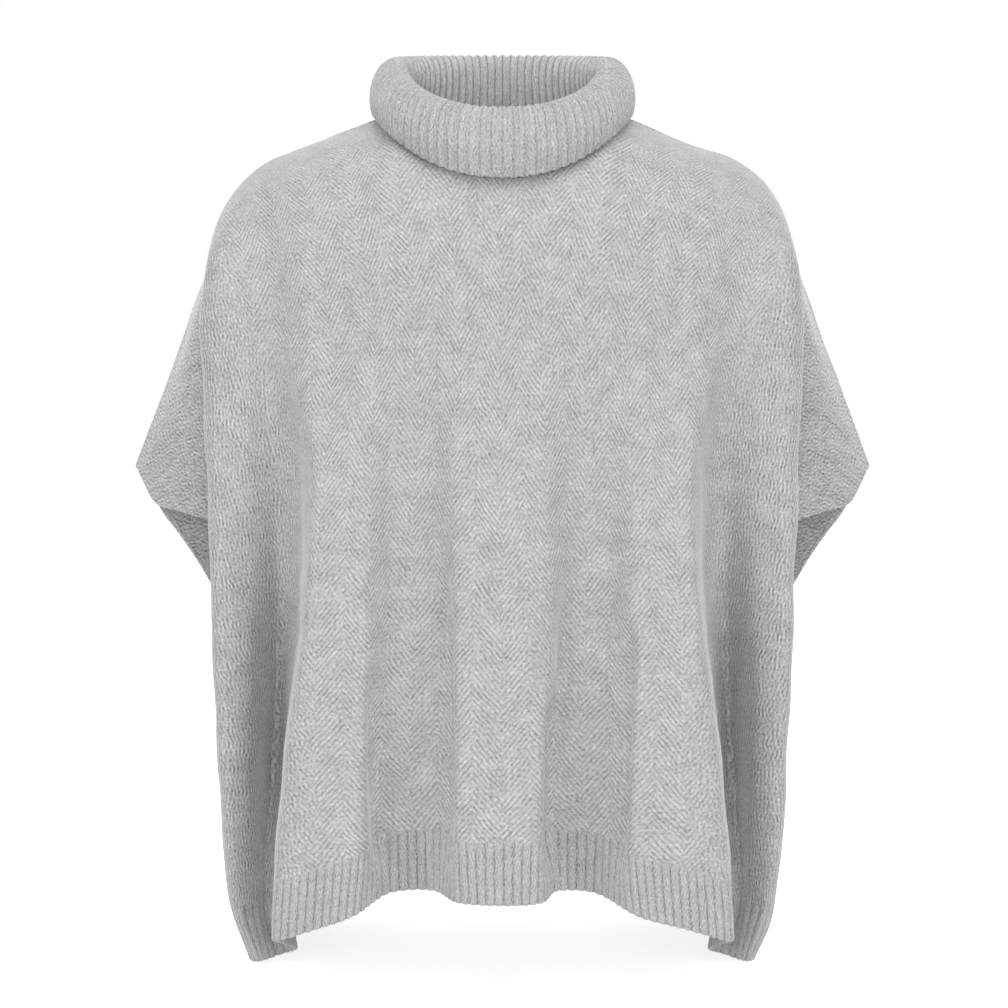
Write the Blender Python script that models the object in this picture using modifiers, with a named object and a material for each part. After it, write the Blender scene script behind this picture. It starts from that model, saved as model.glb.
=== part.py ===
# A poncho sweater in herringbone knit, filled out as if worn: front and back panels with short batwing
# sleeves cut in one with them, a rib hem on each panel, and a rib collar folded over outward.
#
# Frame: metres, +Z up. The wearer looks along -Y and X runs across the shoulders. The origin is midway
# between the two shoulder seams where they meet the neck, so the sweater hangs from about z = 0.
#
# Each panel is a sheet on a net of fold lines. A fold line runs from the neck or shoulder seam down to the
# hem, and the rows of the tables say where it passes at each level. That sheet is the outer face of the knit,
# whose thickness lies inward of it. Only the +X half is described: a Mirror modifier makes the other half.

from collections import namedtuple
from math import cos, pi, sin

import bmesh
import bpy
from mathutils import Vector

# Driving dimensions
PANEL_WALL = 0.0030
RIB_WALL = 0.0035
COLLAR_WALL = 0.0035
SEAM_GAP = 0.0003
RIB_HEIGHT = 0.053
NECK_HALF_WIDTH = 0.094
NECK_SIDE_Z = 0.004
FRONT_NECK_DEPTH = 0.085
FRONT_NECK_Z = -0.027
BACK_NECK_DEPTH = 0.072
BACK_NECK_Z = -0.022
NECK_DIP = 1.5
SEAM_OVERLAP = 0.002  # how far a panel's sheet runs past the seam plane before it is trimmed there

# Heights of the levels that every fold line crosses
CHEST_Z = -0.170
UNDERARM_Z = -0.335
SEAM_TOP_Z = -0.420
WAIST_Z = -0.520

# Level numbers along a fold line, from its top to the hem
CHEST, UNDERARM, SEAM_TOP, WAIST, RIB, HEM = 2, 4, 5, 6, 7, 8

OVAL_POWER = 0.91  # below 1 squares the ovals of the neck and the collar a little

# A fold line's curve over the shoulder: its two handles, as shares of the way from the seam to the chest line
SHOULDER_HANDLE = (0.25, 0.75, 0.07)
CHEST_HANDLE = (0.90, 1.00, 0.42)

RIB_SEAM_SLANT = 1.8  # how much longer the gap above the hem rib is along the sheet, where the seam slants
FACING_REACH = 0.04  # how far apart, in grid steps, the points lie that give the facing of a form

# Mesh fineness
PANEL_ROWS = (0, 0.4, 0.8, 1.3, 2, 2.8, 3.5, 4, 4.5, 5, 6, 7)
RIB_ROWS = (7, 7.5, 8)
COLUMNS_PER_FOLD = 2
COLLAR_COLUMNS = 12

KNIT_GREY = (0.52, 0.52, 0.53, 1.0)
RIB_GREY = (0.50, 0.50, 0.51, 1.0)

# The shoulder seam in the plane y = 0, from the neck over the shoulder and down the sleeve to its tip
ShoulderPoint = namedtuple("ShoulderPoint", "name x z")
SHOULDER = [
    ShoulderPoint("neck", NECK_HALF_WIDTH, NECK_SIDE_Z),
    ShoulderPoint("mid shoulder", 0.150, -0.0180),
    ShoulderPoint("shoulder end", 0.200, -0.0378),
    ShoulderPoint("shoulder point", 0.2275, -0.0655),
    ShoulderPoint("sleeve head", 0.2420, -0.1060),
    ShoulderPoint("sleeve", 0.2680, -0.1820),
    ShoulderPoint("sleeve tip", 0.3120, -0.2920),
]

# A fold line of a panel. top counts along the neckline (0 at the centre, 1 at the neck point) and then along
# the shoulder seam (1 at the neck point, 2 at the sleeve tip).
FOLD_COLUMNS = "name top chest_x chest_y underarm_x underarm_y waist_x waist_y rib_x rib_y hem_x hem_y hem_z"
Fold = namedtuple("Fold", FOLD_COLUMNS)
FRONT_FOLDS = [
    Fold("centre ridge", 0, 0, -0.136, 0, -0.156, 0, -0.163, 0, -0.168, 0, -0.170, -0.628),
    Fold("slope", 0.28, 0.034, -0.136, 0.034, -0.155, 0.034, -0.160, 0.032, -0.163, 0.030, -0.163, -0.628),
    Fold("trough", 0.46, 0.058, -0.134, 0.056, -0.137, 0.054, -0.130, 0.053, -0.127, 0.053, -0.124, -0.629),
    Fold("rise", 0.72, 0.088, -0.131, 0.085, -0.132, 0.088, -0.126, 0.087, -0.123, 0.086, -0.120, -0.632),
    Fold("ridge", 1.00, 0.113, -0.127, 0.110, -0.149, 0.111, -0.155, 0.115, -0.156, 0.120, -0.157, -0.641),
    Fold("flat", 1.10, 0.137, -0.121, 0.131, -0.148, 0.142, -0.156, 0.148, -0.157, 0.152, -0.156, -0.652),
    Fold("edge", 1.19, 0.157, -0.117, 0.152, -0.147, 0.173, -0.153, 0.182, -0.153, 0.186, -0.151, -0.664),
    Fold("turn", 1.25, 0.169, -0.111, 0.158, -0.134, 0.179, -0.138, 0.188, -0.139, 0.191, -0.137, -0.667),
    Fold("tuck in", 1.31, 0.183, -0.103, 0.167, -0.096, 0.180, -0.060, 0.184, -0.082, 0.177, -0.070, -0.697),
    Fold("tuck out", 1.36, 0.197, -0.098, 0.183, -0.082, 0.193, -0.036, 0.200, -0.060, 0.189, -0.054, -0.706),
    Fold("lobe in", 1.42, 0.215, -0.097, 0.209, -0.095, 0.212, -0.085, 0.207, -0.072, 0.199, -0.067, -0.706),
    Fold("lobe", 1.47, 0.235, -0.094, 0.235, -0.101, 0.232, -0.093, 0.223, -0.085, 0.208, -0.075, -0.706),
    Fold("side", 1.51, 0.246, -0.083, 0.2415, -0.088, 0.2385, -0.080, 0.2305, -0.071, 0.215, -0.061, -0.708),
    Fold("lobe out", 1.55, 0.242, -0.066, 0.2375, -0.067, 0.2335, -0.060, 0.2275, -0.051, 0.213, -0.040, -0.707),
    Fold("valley", 1.59, 0.235, -0.057, 0.224, -0.051, 0.227, -0.038, 0.224, -0.030, 0.210, -0.022, -0.705),
]
BACK_FOLDS = [
    Fold("hollow", 0, 0, 0.119, 0, 0.121, 0, 0.124, 0, 0.127, 0, 0.128, -0.640),
    Fold("slope", 0.26, 0.031, 0.121, 0.030, 0.124, 0.029, 0.131, 0.028, 0.137, 0.027, 0.139, -0.640),
    Fold("ridge", 0.52, 0.060, 0.124, 0.060, 0.132, 0.060, 0.146, 0.060, 0.158, 0.060, 0.161, -0.642),
    Fold("ridge out", 0.76, 0.088, 0.125, 0.086, 0.132, 0.088, 0.143, 0.090, 0.151, 0.091, 0.153, -0.645),
    Fold("soft trough", 1.00, 0.116, 0.122, 0.112, 0.127, 0.114, 0.129, 0.116, 0.128, 0.117, 0.125, -0.650),
    Fold("trough out", 1.12, 0.143, 0.116, 0.138, 0.124, 0.142, 0.128, 0.144, 0.129, 0.146, 0.129, -0.660),
    Fold("edge", 1.22, 0.165, 0.108, 0.160, 0.121, 0.167, 0.135, 0.170, 0.141, 0.172, 0.142, -0.670),
    Fold("turn", 1.29, 0.181, 0.100, 0.176, 0.110, 0.180, 0.121, 0.183, 0.130, 0.183, 0.130, -0.676),
    Fold("tuck", 1.35, 0.196, 0.093, 0.192, 0.089, 0.185, 0.089, 0.181, 0.094, 0.181, 0.094, -0.690),
    Fold("lobe in", 1.42, 0.213, 0.087, 0.213, 0.086, 0.208, 0.082, 0.203, 0.079, 0.196, 0.078, -0.699),
    Fold("lobe", 1.48, 0.228, 0.079, 0.231, 0.086, 0.228, 0.085, 0.222, 0.081, 0.210, 0.071, -0.704),
    Fold("side", 1.52, 0.2355, 0.065, 0.2385, 0.068, 0.2365, 0.068, 0.231, 0.065, 0.2175, 0.054, -0.706),
    Fold("lobe out", 1.56, 0.232, 0.053, 0.234, 0.052, 0.232, 0.051, 0.229, 0.048, 0.2155, 0.037, -0.706),
    Fold("valley", 1.60, 0.228, 0.046, 0.226, 0.043, 0.227, 0.036, 0.225, 0.030, 0.211, 0.021, -0.705),
]

# The two outermost lines of a panel. The sleeve line runs down the middle of the sleeve, and the opening line
# is the panel's free edge round the sleeve opening. Both join the side seam at its top. A row for each level
# from the shoulder seam to the underarm.
SleeveRow = namedtuple("SleeveRow", "level sleeve_x sleeve_y sleeve_z edge_x edge_y edge_z")
FRONT_SLEEVE = [
    SleeveRow(0, 0.2535, 0.000, -0.140, 0.3120, 0.000, -0.2920),
    SleeveRow(1, 0.2600, -0.032, -0.182, 0.3025, -0.019, -0.3045),
    SleeveRow(2, 0.2640, -0.044, -0.230, 0.2920, -0.028, -0.3200),
    SleeveRow(3, 0.2570, -0.048, -0.282, 0.2678, -0.038, -0.3265),
    SleeveRow(4, 0.2325, -0.047, -0.329, 0.2400, -0.041, -0.3380),
]
BACK_SLEEVE = [
    SleeveRow(0, 0.2535, 0.000, -0.140, 0.3120, 0.000, -0.2920),
    SleeveRow(1, 0.2590, 0.030, -0.184, 0.3000, 0.013, -0.3125),
    SleeveRow(2, 0.2630, 0.035, -0.238, 0.2925, 0.016, -0.3320),
    SleeveRow(3, 0.2600, 0.029, -0.298, 0.2765, 0.013, -0.3540),
    SleeveRow(4, 0.2440, 0.019, -0.354, 0.2555, 0.010, -0.3860),
]

# The side seam in the plane y = 0, and the line halfway from it to the side valley
SideRow = namedtuple("SideRow", "level seam_x half_x half_y z")
FRONT_SIDE = [
    SideRow(SEAM_TOP, 0.2380, 0.2345, -0.022, SEAM_TOP_Z),
    SideRow(WAIST, 0.2270, 0.2260, -0.019, WAIST_Z),
    SideRow(RIB, 0.2225, 0.2230, -0.015, -0.652),
    SideRow(HEM, 0.2085, 0.2090, -0.011, -0.704),
]
BACK_SIDE = [
    SideRow(SEAM_TOP, 0.2380, 0.2355, 0.016, SEAM_TOP_Z),
    SideRow(WAIST, 0.2270, 0.2265, 0.018, WAIST_Z),
    SideRow(RIB, 0.2225, 0.2235, 0.015, -0.652),
    SideRow(HEM, 0.2085, 0.2090, 0.011, -0.704),
]

# Rings of the collar, from its seam at the neckline up the inside, over the rim and down the outside to its
# free edge. A ring is an oval whose height blends from side_z to front_z and to back_z: the greater its dip,
# the nearer to the centre line it drops.
Ring = namedtuple("Ring", "name side_x side_z front_y front_z back_y back_z dip")
COLLAR = [
    Ring("neck seam", 0.0935, 0.0050, -0.0845, -0.0260, 0.0715, -0.0210, 1.5),
    Ring("inside low", 0.0835, 0.0180, -0.0855, -0.0140, 0.0735, -0.0030, 1.4),
    Ring("inside", 0.0770, 0.0340, -0.0905, 0.0020, 0.0790, 0.0240, 1.3),
    Ring("inside rim", 0.0798, 0.0470, -0.0985, 0.0125, 0.0865, 0.0455, 1.15),
    Ring("rim", 0.0885, 0.0510, -0.1060, 0.0145, 0.0940, 0.0508, 1.15),
    Ring("outside rim", 0.1000, 0.0455, -0.1135, 0.0105, 0.1015, 0.0465, 1.2),
    Ring("outside", 0.1085, 0.0310, -0.1215, -0.0060, 0.1080, 0.0280, 1.4),
    Ring("outside low", 0.1103, 0.0150, -0.1240, -0.0250, 0.1090, 0.0010, 1.6),
    Ring("free edge", 0.1085, 0.0065, -0.1165, -0.0425, 0.1030, -0.0300, 1.9),
]


def through(points, position):
    """The point at position (0 to len(points) - 1) on a smooth curve through points."""
    last = len(points) - 1
    index = min(int(position), last - 1)
    start, end = points[index], points[index + 1]
    before = points[index - 1] if index > 0 else start + (start - end)
    after = points[index + 2] if index + 2 <= last else end + (end - start)
    # Centripetal spacing keeps the curve from looping in the tight folds.
    gaps = [max((b - a).length, 1e-6) ** 0.5 for a, b in ((before, start), (start, end), (end, after))]
    step = gaps[1]
    leave = ((start - before) / gaps[0] - (end - before) / (gaps[0] + step) + (end - start) / step) * step
    arrive = ((end - start) / step - (after - start) / (step + gaps[2]) + (after - end) / gaps[2]) * step
    t = position - index
    return (
        start * (1 + t * t * (2 * t - 3))
        + leave * t * (1 - t) ** 2
        + end * t * t * (3 - 2 * t)
        + arrive * t * t * (t - 1)
    )


def bezier(start, leave, arrive, end, t):
    return start * (1 - t) ** 3 + leave * 3 * t * (1 - t) ** 2 + arrive * 3 * t * t * (1 - t) + end * t**3


def between(levels, row):
    """The level at a row number, which may fall between two rows."""
    index = min(int(row), len(levels) - 2)
    return blend(levels[index], levels[index + 1], row - index)


def blend(low, high, position):
    return low + (high - low) * position


def oval(angle, side_x, side_z, depth, centre_z, dip):
    """A point of the +X half of an oval ring. angle is 0 at its centre line and pi / 2 at its side."""
    side, centre = sin(angle), max(cos(angle), 0.0)
    height = blend(side_z, centre_z, centre**dip)
    return Vector((side_x * side**OVAL_POWER, depth * centre**OVAL_POWER, height))


def shoulder_point(share):
    """A point of the shoulder seam. share runs from 0 at the neck to 1 at the sleeve tip."""
    places = [Vector((row.x, 0, row.z)) for row in SHOULDER]
    return through(places, share * (len(places) - 1))


class Panel:
    """The sheet of the front or the back. side is -1 for the front and 1 for the back."""

    def __init__(self, side, folds, sleeve, seam, neck_depth, neck_z):
        self.side = side
        self.folds = folds
        self.neck = (NECK_HALF_WIDTH, NECK_SIDE_Z, side * neck_depth, neck_z, NECK_DIP)
        # Both outer lines start past the seam plane, and the side seam runs past it too, to be trimmed there.
        past_seam = Vector((0, -side * SEAM_OVERLAP, 0))
        sleeve_line = [Vector((row.sleeve_x, row.sleeve_y, row.sleeve_z)) for row in sleeve]
        edge_line = [Vector((row.edge_x, row.edge_y, row.edge_z)) for row in sleeve]
        sleeve_line += [Vector((row.half_x, row.half_y, row.z)) for row in seam]
        edge_line += [Vector((row.seam_x, 0, row.z)) + past_seam for row in seam]
        sleeve_line[0] += past_seam
        edge_line[0] += past_seam
        self.outer_lines = (sleeve_line, edge_line)

    def top_of(self, fold):
        if fold.top <= 1:
            return oval(fold.top * pi / 2, *self.neck)
        return shoulder_point(fold.top - 1) - Vector((0, self.side * SEAM_OVERLAP, 0))

    def on_fold(self, fold, level):
        """The point of a fold line at a level."""
        chest = Vector((fold.chest_x, fold.chest_y, CHEST_Z))
        if level < CHEST:
            # A Bezier curve leaves the seam almost level, rounds over and reaches the chest upright.
            top = self.top_of(fold)
            drop = chest - top
            leave = top + drop * Vector(SHOULDER_HANDLE)
            arrive = top + drop * Vector(CHEST_HANDLE)
            return bezier(top, leave, arrive, chest, level / CHEST)
        line = [
            chest,
            Vector((fold.underarm_x, fold.underarm_y, UNDERARM_Z)),
            Vector((fold.waist_x, fold.waist_y, WAIST_Z)),
            Vector((fold.rib_x, fold.rib_y, fold.hem_z + RIB_HEIGHT)),
            Vector((fold.hem_x, fold.hem_y, fold.hem_z)),
        ]
        if level < UNDERARM:
            return through(line, (level - CHEST) / (UNDERARM - CHEST))
        if level < WAIST:
            return through(line, 1 + (level - UNDERARM) / (WAIST - UNDERARM))
        return through(line, 2 + level - WAIST)

    def point(self, across, level):
        """A point of the sheet. across counts fold lines from the centre."""
        lines = [self.on_fold(fold, level) for fold in self.folds]
        lines += [through(line, level) for line in self.outer_lines]
        return through(lines, across)

    def last_line(self):
        return len(self.folds) + 1


def facing(place, column, row, columns, rows):
    """The direction square to a form, out of the garment where columns run clockwise seen from below."""
    right, left = min(column + FACING_REACH, columns), max(column - FACING_REACH, 0)
    low, high = min(row + FACING_REACH, rows), max(row - FACING_REACH, 0)
    across = place(right, row) - place(left, row)
    down = place(column, low) - place(column, high)
    normal = down.cross(across)
    if abs(place(column, row).x) < 1e-6:
        normal.x = 0
    return normal.normalized()


def half_wall(name, columns, rows, place, inward, wall, material, collection):
    """The +X half of a knitted wall, open at the plane x = 0, with a Mirror modifier for the other half.

    place(column, row) is a point of its outer face. Both faces are grids moved onto the form, so the rims of
    two walls that meet at a seam are parallel. inward is 1 or -1: the way into the cloth along facing().
    """
    mesh = bpy.data.meshes.new(name)
    shell = bmesh.new()
    grid = bmesh.ops.create_grid(shell, x_segments=columns, y_segments=rows, size=1.0)
    outer = grid["verts"]
    inner_of = {}
    for vertex in outer:
        column = (vertex.co.x + 1) / 2 * columns
        row = (vertex.co.y + 1) / 2 * rows
        inner_of[vertex] = place(column, row) + inward * wall * facing(place, column, row, columns, rows)
        vertex.co = place(column, row)
    rim = [edge for edge in shell.edges if edge.is_boundary and any(v.co.x > 1e-6 for v in edge.verts)]
    outer_face = list(shell.verts) + list(shell.edges) + list(shell.faces)
    copied = bmesh.ops.duplicate(shell, geom=outer_face)
    for vertex in outer:
        copied["vert_map"][vertex].co = inner_of[vertex]
    for edge in rim:
        start, end = edge.verts
        shell.faces.new((start, end, copied["vert_map"][end], copied["vert_map"][start]))
    bmesh.ops.recalc_face_normals(shell, faces=shell.faces)
    shell.to_mesh(mesh)
    shell.free()
    mesh.materials.append(material)
    mesh.shade_smooth()
    body = bpy.data.objects.new(name, mesh)
    collection.objects.link(body)
    mirror = body.modifiers.new("Both halves", "MIRROR")
    mirror.use_clip = True
    mirror.merge_threshold = 0.0001
    return body


def knit_material(name, colour):
    material = bpy.data.materials.new(name)
    material.use_nodes = True
    shader = material.node_tree.nodes["Principled BSDF"]
    shader.inputs["Base Color"].default_value = colour
    shader.inputs["Roughness"].default_value = 0.95
    shader.inputs["Metallic"].default_value = 0.0
    return material


def half_space(name, side, collection):
    """A box that fills the space on one side of the seam plane. It trims the panel of the other side."""
    cutter = bmesh.new()
    bmesh.ops.create_cube(cutter, size=1.0)
    mesh = bpy.data.meshes.new(name)
    cutter.to_mesh(mesh)
    cutter.free()
    box = bpy.data.objects.new(name, mesh)
    box.scale = (2.0, 1.0, 2.0)
    box.location = (0, side * (0.5 - SEAM_GAP / 2), 0)
    box.hide_render = True
    box.display_type = "WIRE"
    collection.objects.link(box)
    return box


def trim_at_seam(sheet, cutter):
    trim = sheet.modifiers.new("Seam edge", "BOOLEAN")
    trim.operation = "DIFFERENCE"
    trim.object = cutter


def build_panel(panel, panel_name, rib_name, cutter, knit, rib_knit, collection):
    columns = panel.last_line() * COLUMNS_PER_FOLD
    rib_start = RIB + RIB_SEAM_SLANT * SEAM_GAP / RIB_HEIGHT

    def on_panel(column, row):
        return panel.point(column / COLUMNS_PER_FOLD, between(PANEL_ROWS, row))

    def on_rib(column, row):
        return panel.point(column / COLUMNS_PER_FOLD, max(between(RIB_ROWS, row), rib_start))

    pieces = (
        (panel_name, PANEL_ROWS, on_panel, PANEL_WALL, knit),
        (rib_name, RIB_ROWS, on_rib, RIB_WALL, rib_knit),
    )
    for name, levels, place, wall, material in pieces:
        body = half_wall(name, columns, len(levels) - 1, place, panel.side, wall, material, collection)
        trim_at_seam(body, cutter)


def build_collar(rib_knit, collection):
    """The rib tube: up from the neckline, folded over the rim and down to its free edge."""

    def on_collar(column, row):
        angle = column / COLLAR_COLUMNS * pi / 2
        if column <= COLLAR_COLUMNS:
            points = [oval(angle, r.side_x, r.side_z, r.front_y, r.front_z, r.dip) for r in COLLAR]
        else:
            points = [oval(pi - angle, r.side_x, r.side_z, r.back_y, r.back_z, r.dip) for r in COLLAR]
        return through(points, row)

    half_wall("collar", 2 * COLLAR_COLUMNS, len(COLLAR) - 1, on_collar, -1, COLLAR_WALL, rib_knit, collection)


def clear_scene():
    for leftover in list(bpy.data.objects):
        bpy.data.objects.remove(leftover, do_unlink=True)


def new_collection(name):
    collection = bpy.data.collections.new(name)
    bpy.context.scene.collection.children.link(collection)
    return collection


def main():
    clear_scene()
    garment = new_collection("poncho sweater")
    cutters = new_collection("cutters")
    knit = knit_material("herringbone knit", KNIT_GREY)
    rib_knit = knit_material("rib knit", RIB_GREY)
    behind = half_space("behind seam plane", 1, cutters)
    before = half_space("before seam plane", -1, cutters)
    front = Panel(-1, FRONT_FOLDS, FRONT_SLEEVE, FRONT_SIDE, FRONT_NECK_DEPTH, FRONT_NECK_Z)
    back = Panel(1, BACK_FOLDS, BACK_SLEEVE, BACK_SIDE, BACK_NECK_DEPTH, BACK_NECK_Z)
    build_panel(front, "front_panel", "front_hem_rib", behind, knit, rib_knit, garment)
    build_panel(back, "back_panel", "back_hem_rib", before, knit, rib_knit, garment)
    build_collar(rib_knit, garment)


main()
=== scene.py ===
from math import cos, pi, radians, sin

import bpy
import numpy as np
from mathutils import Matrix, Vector


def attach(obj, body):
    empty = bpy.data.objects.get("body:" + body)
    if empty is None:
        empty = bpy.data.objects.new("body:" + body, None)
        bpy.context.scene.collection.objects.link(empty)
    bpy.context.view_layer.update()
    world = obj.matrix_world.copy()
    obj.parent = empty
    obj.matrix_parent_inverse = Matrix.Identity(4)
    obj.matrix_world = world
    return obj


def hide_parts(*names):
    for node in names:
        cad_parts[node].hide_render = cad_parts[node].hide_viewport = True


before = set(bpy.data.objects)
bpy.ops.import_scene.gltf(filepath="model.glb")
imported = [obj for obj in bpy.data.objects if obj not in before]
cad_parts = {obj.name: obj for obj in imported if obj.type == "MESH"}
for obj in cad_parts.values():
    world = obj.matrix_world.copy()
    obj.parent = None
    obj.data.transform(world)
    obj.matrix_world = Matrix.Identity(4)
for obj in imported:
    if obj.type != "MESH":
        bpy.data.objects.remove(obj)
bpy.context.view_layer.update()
bpy.ops.object.select_all(action="DESELECT")
print("frame loaded")

# The garment hangs from its shoulder seams, +Z up, and the wearer looks along -Y. Sizes are in metres.
# Levels run down the cloth: 0 at the neck and shoulder seam, then these, with the hem last.
chest, underarm, waist, rib, hem = 2, 4, 6, 7, 8
levelHeight = {"chest": -0.170, "underarm": -0.335, "waist": -0.520}
ribHeight = 0.053

cloth = {
    "wall": 0.0030,  # thickness of the herringbone knit
    "ribWall": 0.0035,  # thickness of the rib knit
    "step": 0.0037,  # mesh size
    "neckHalfWidth": 0.094,
    "neckSideZ": 0.004,
    "ovalPower": 0.91,  # below 1 squares the ovals of the neck and collar a little
    "neckDip": 1.5,  # how near the centre the neckline dips
    "roundingRows": 4,  # rows of mesh round a free edge
    "edgeEase": 0.03,  # creases fade out within this distance of a panel's edge
}

# The shoulder seam in the plane y = 0: from the neck over the shoulder and down the sleeve, x and z
shoulderSeam = np.array([
    (0.094, 0, 0.004),
    (0.150, 0, -0.0180),
    (0.200, 0, -0.0378),
    (0.2275, 0, -0.0655),
    (0.2420, 0, -0.1060),
    (0.2680, 0, -0.1820),
    (0.3120, 0, -0.2920),
])

# One row for each fold line, from the centre outwards. top runs 0 to 1 along the neckline and 1 to 2 along
# the shoulder seam. x and y are where the line passes the chest, underarm, waist, top of the rib and hem. The
# last two columns shift the lower part of the line sideways on the wearer's right (-X) and left (+X), so that
# the folds of the two sides differ.
foldColumns = (
    "top chestX chestY underarmX underarmY waistX waistY ribX ribY hemX hemY hemZ shiftRight shiftLeft"
).split()
frontFolds = [
    (0, 0, -0.136, 0, -0.156, 0, -0.163, 0, -0.168, 0, -0.170, -0.628, 0, 0),
    (0.28, 0.034, -0.136, 0.034, -0.155, 0.034, -0.160, 0.032, -0.163, 0.030, -0.163, -0.628, 0.006, 0.001),
    (0.46, 0.058, -0.134, 0.056, -0.137, 0.054, -0.130, 0.053, -0.127, 0.053, -0.124, -0.629, 0.006, -0.006),
    (0.72, 0.088, -0.131, 0.085, -0.132, 0.088, -0.126, 0.087, -0.123, 0.086, -0.120, -0.632, 0.005, -0.010),
    (1.00, 0.113, -0.127, 0.110, -0.149, 0.111, -0.155, 0.115, -0.156, 0.120, -0.157, -0.641, 0.001, -0.010),
    (1.10, 0.137, -0.121, 0.131, -0.148, 0.142, -0.156, 0.148, -0.157, 0.152, -0.156, -0.652, 0, -0.003),
    (1.19, 0.157, -0.117, 0.152, -0.147, 0.173, -0.153, 0.182, -0.153, 0.186, -0.151, -0.664, 0, 0),
    (1.25, 0.169, -0.111, 0.158, -0.134, 0.179, -0.138, 0.188, -0.139, 0.191, -0.137, -0.667, 0, 0),
    (1.31, 0.183, -0.103, 0.167, -0.096, 0.180, -0.060, 0.184, -0.082, 0.177, -0.070, -0.697, 0, 0),
    (1.36, 0.197, -0.098, 0.183, -0.082, 0.193, -0.036, 0.200, -0.060, 0.189, -0.054, -0.706, 0, 0),
    (1.42, 0.215, -0.097, 0.209, -0.095, 0.212, -0.085, 0.207, -0.072, 0.199, -0.067, -0.706, 0, 0),
    (1.47, 0.235, -0.094, 0.235, -0.101, 0.232, -0.093, 0.223, -0.085, 0.208, -0.075, -0.706, 0, 0),
    (1.51, 0.246, -0.083, 0.2415, -0.088, 0.2385, -0.080, 0.2305, -0.071, 0.215, -0.061, -0.708, 0, 0),
    (1.55, 0.242, -0.066, 0.2375, -0.067, 0.2335, -0.060, 0.2275, -0.051, 0.213, -0.040, -0.707, 0, 0),
    (1.59, 0.235, -0.057, 0.224, -0.051, 0.227, -0.038, 0.224, -0.030, 0.210, -0.022, -0.705, 0, 0),
]
frontPanel = {
    "side": -1,
    "neckDepth": 0.085,
    "neckZ": -0.027,
    "folds": frontFolds,
    # level, the line down the middle of the sleeve (x y z) and the sleeve opening's edge (x y z)
    "sleeve": [
        (0, 0.2535, 0.000, -0.140, 0.3120, 0.000, -0.2920),
        (1, 0.2600, -0.032, -0.182, 0.3025, -0.019, -0.3045),
        (2, 0.2640, -0.044, -0.230, 0.2920, -0.028, -0.3200),
        (3, 0.2570, -0.048, -0.282, 0.2678, -0.038, -0.3265),
        (4, 0.2325, -0.047, -0.329, 0.2400, -0.041, -0.3380),
    ],
    # level, the line just inside the side seam (x y z) and the side seam (x y z)
    "sideSeam": [
        (5, 0.2345, -0.022, -0.420, 0.2380, 0, -0.420),
        (6, 0.2260, -0.019, -0.520, 0.2270, 0, -0.520),
        (7, 0.2230, -0.015, -0.652, 0.2225, 0, -0.652),
        (8, 0.2090, -0.011, -0.704, 0.2085, 0, -0.704),
    ],
}
backFolds = [
    (0, 0, 0.119, 0, 0.121, 0, 0.124, 0, 0.127, 0, 0.128, -0.640, 0, 0),
    (0.26, 0.031, 0.121, 0.030, 0.124, 0.029, 0.131, 0.028, 0.137, 0.027, 0.139, -0.640, 0.003, -0.002),
    (0.52, 0.060, 0.124, 0.060, 0.132, 0.060, 0.146, 0.060, 0.158, 0.060, 0.161, -0.642, 0.006, -0.004),
    (0.76, 0.088, 0.125, 0.086, 0.132, 0.088, 0.143, 0.090, 0.151, 0.091, 0.153, -0.645, 0.006, -0.003),
    (1.00, 0.116, 0.122, 0.112, 0.127, 0.114, 0.129, 0.116, 0.128, 0.117, 0.125, -0.650, 0.003, 0.002),
    (1.12, 0.143, 0.116, 0.138, 0.124, 0.142, 0.128, 0.144, 0.129, 0.146, 0.129, -0.660, 0, 0.003),
    (1.22, 0.165, 0.108, 0.160, 0.121, 0.167, 0.135, 0.170, 0.141, 0.172, 0.142, -0.670, 0, 0),
    (1.29, 0.181, 0.100, 0.176, 0.110, 0.180, 0.121, 0.183, 0.130, 0.183, 0.130, -0.676, 0, 0),
    (1.35, 0.196, 0.093, 0.192, 0.089, 0.185, 0.089, 0.181, 0.094, 0.181, 0.094, -0.690, 0, 0),
    (1.42, 0.213, 0.087, 0.213, 0.086, 0.208, 0.082, 0.203, 0.079, 0.196, 0.078, -0.699, 0, 0),
    (1.48, 0.228, 0.079, 0.231, 0.086, 0.228, 0.085, 0.222, 0.081, 0.210, 0.071, -0.704, 0, 0),
    (1.52, 0.2355, 0.065, 0.2385, 0.068, 0.2365, 0.068, 0.2310, 0.065, 0.2175, 0.054, -0.706, 0, 0),
    (1.56, 0.232, 0.053, 0.234, 0.052, 0.232, 0.051, 0.229, 0.048, 0.2155, 0.037, -0.706, 0, 0),
    (1.60, 0.228, 0.046, 0.226, 0.043, 0.227, 0.036, 0.225, 0.030, 0.211, 0.021, -0.705, 0, 0),
]
backPanel = {
    "side": 1,
    "neckDepth": 0.072,
    "neckZ": -0.022,
    "folds": backFolds,
    "sleeve": [
        (0, 0.2535, 0.000, -0.140, 0.3120, 0.000, -0.2920),
        (1, 0.2590, 0.030, -0.184, 0.3000, 0.013, -0.3125),
        (2, 0.2630, 0.035, -0.238, 0.2925, 0.016, -0.3320),
        (3, 0.2600, 0.029, -0.298, 0.2765, 0.013, -0.3540),
        (4, 0.2440, 0.019, -0.354, 0.2555, 0.010, -0.3860),
    ],
    "sideSeam": [
        (5, 0.2355, 0.016, -0.420, 0.2380, 0, -0.420),
        (6, 0.2265, 0.018, -0.520, 0.2270, 0, -0.520),
        (7, 0.2235, 0.015, -0.652, 0.2225, 0, -0.652),
        (8, 0.2090, 0.011, -0.704, 0.2085, 0, -0.704),
    ],
}


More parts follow.
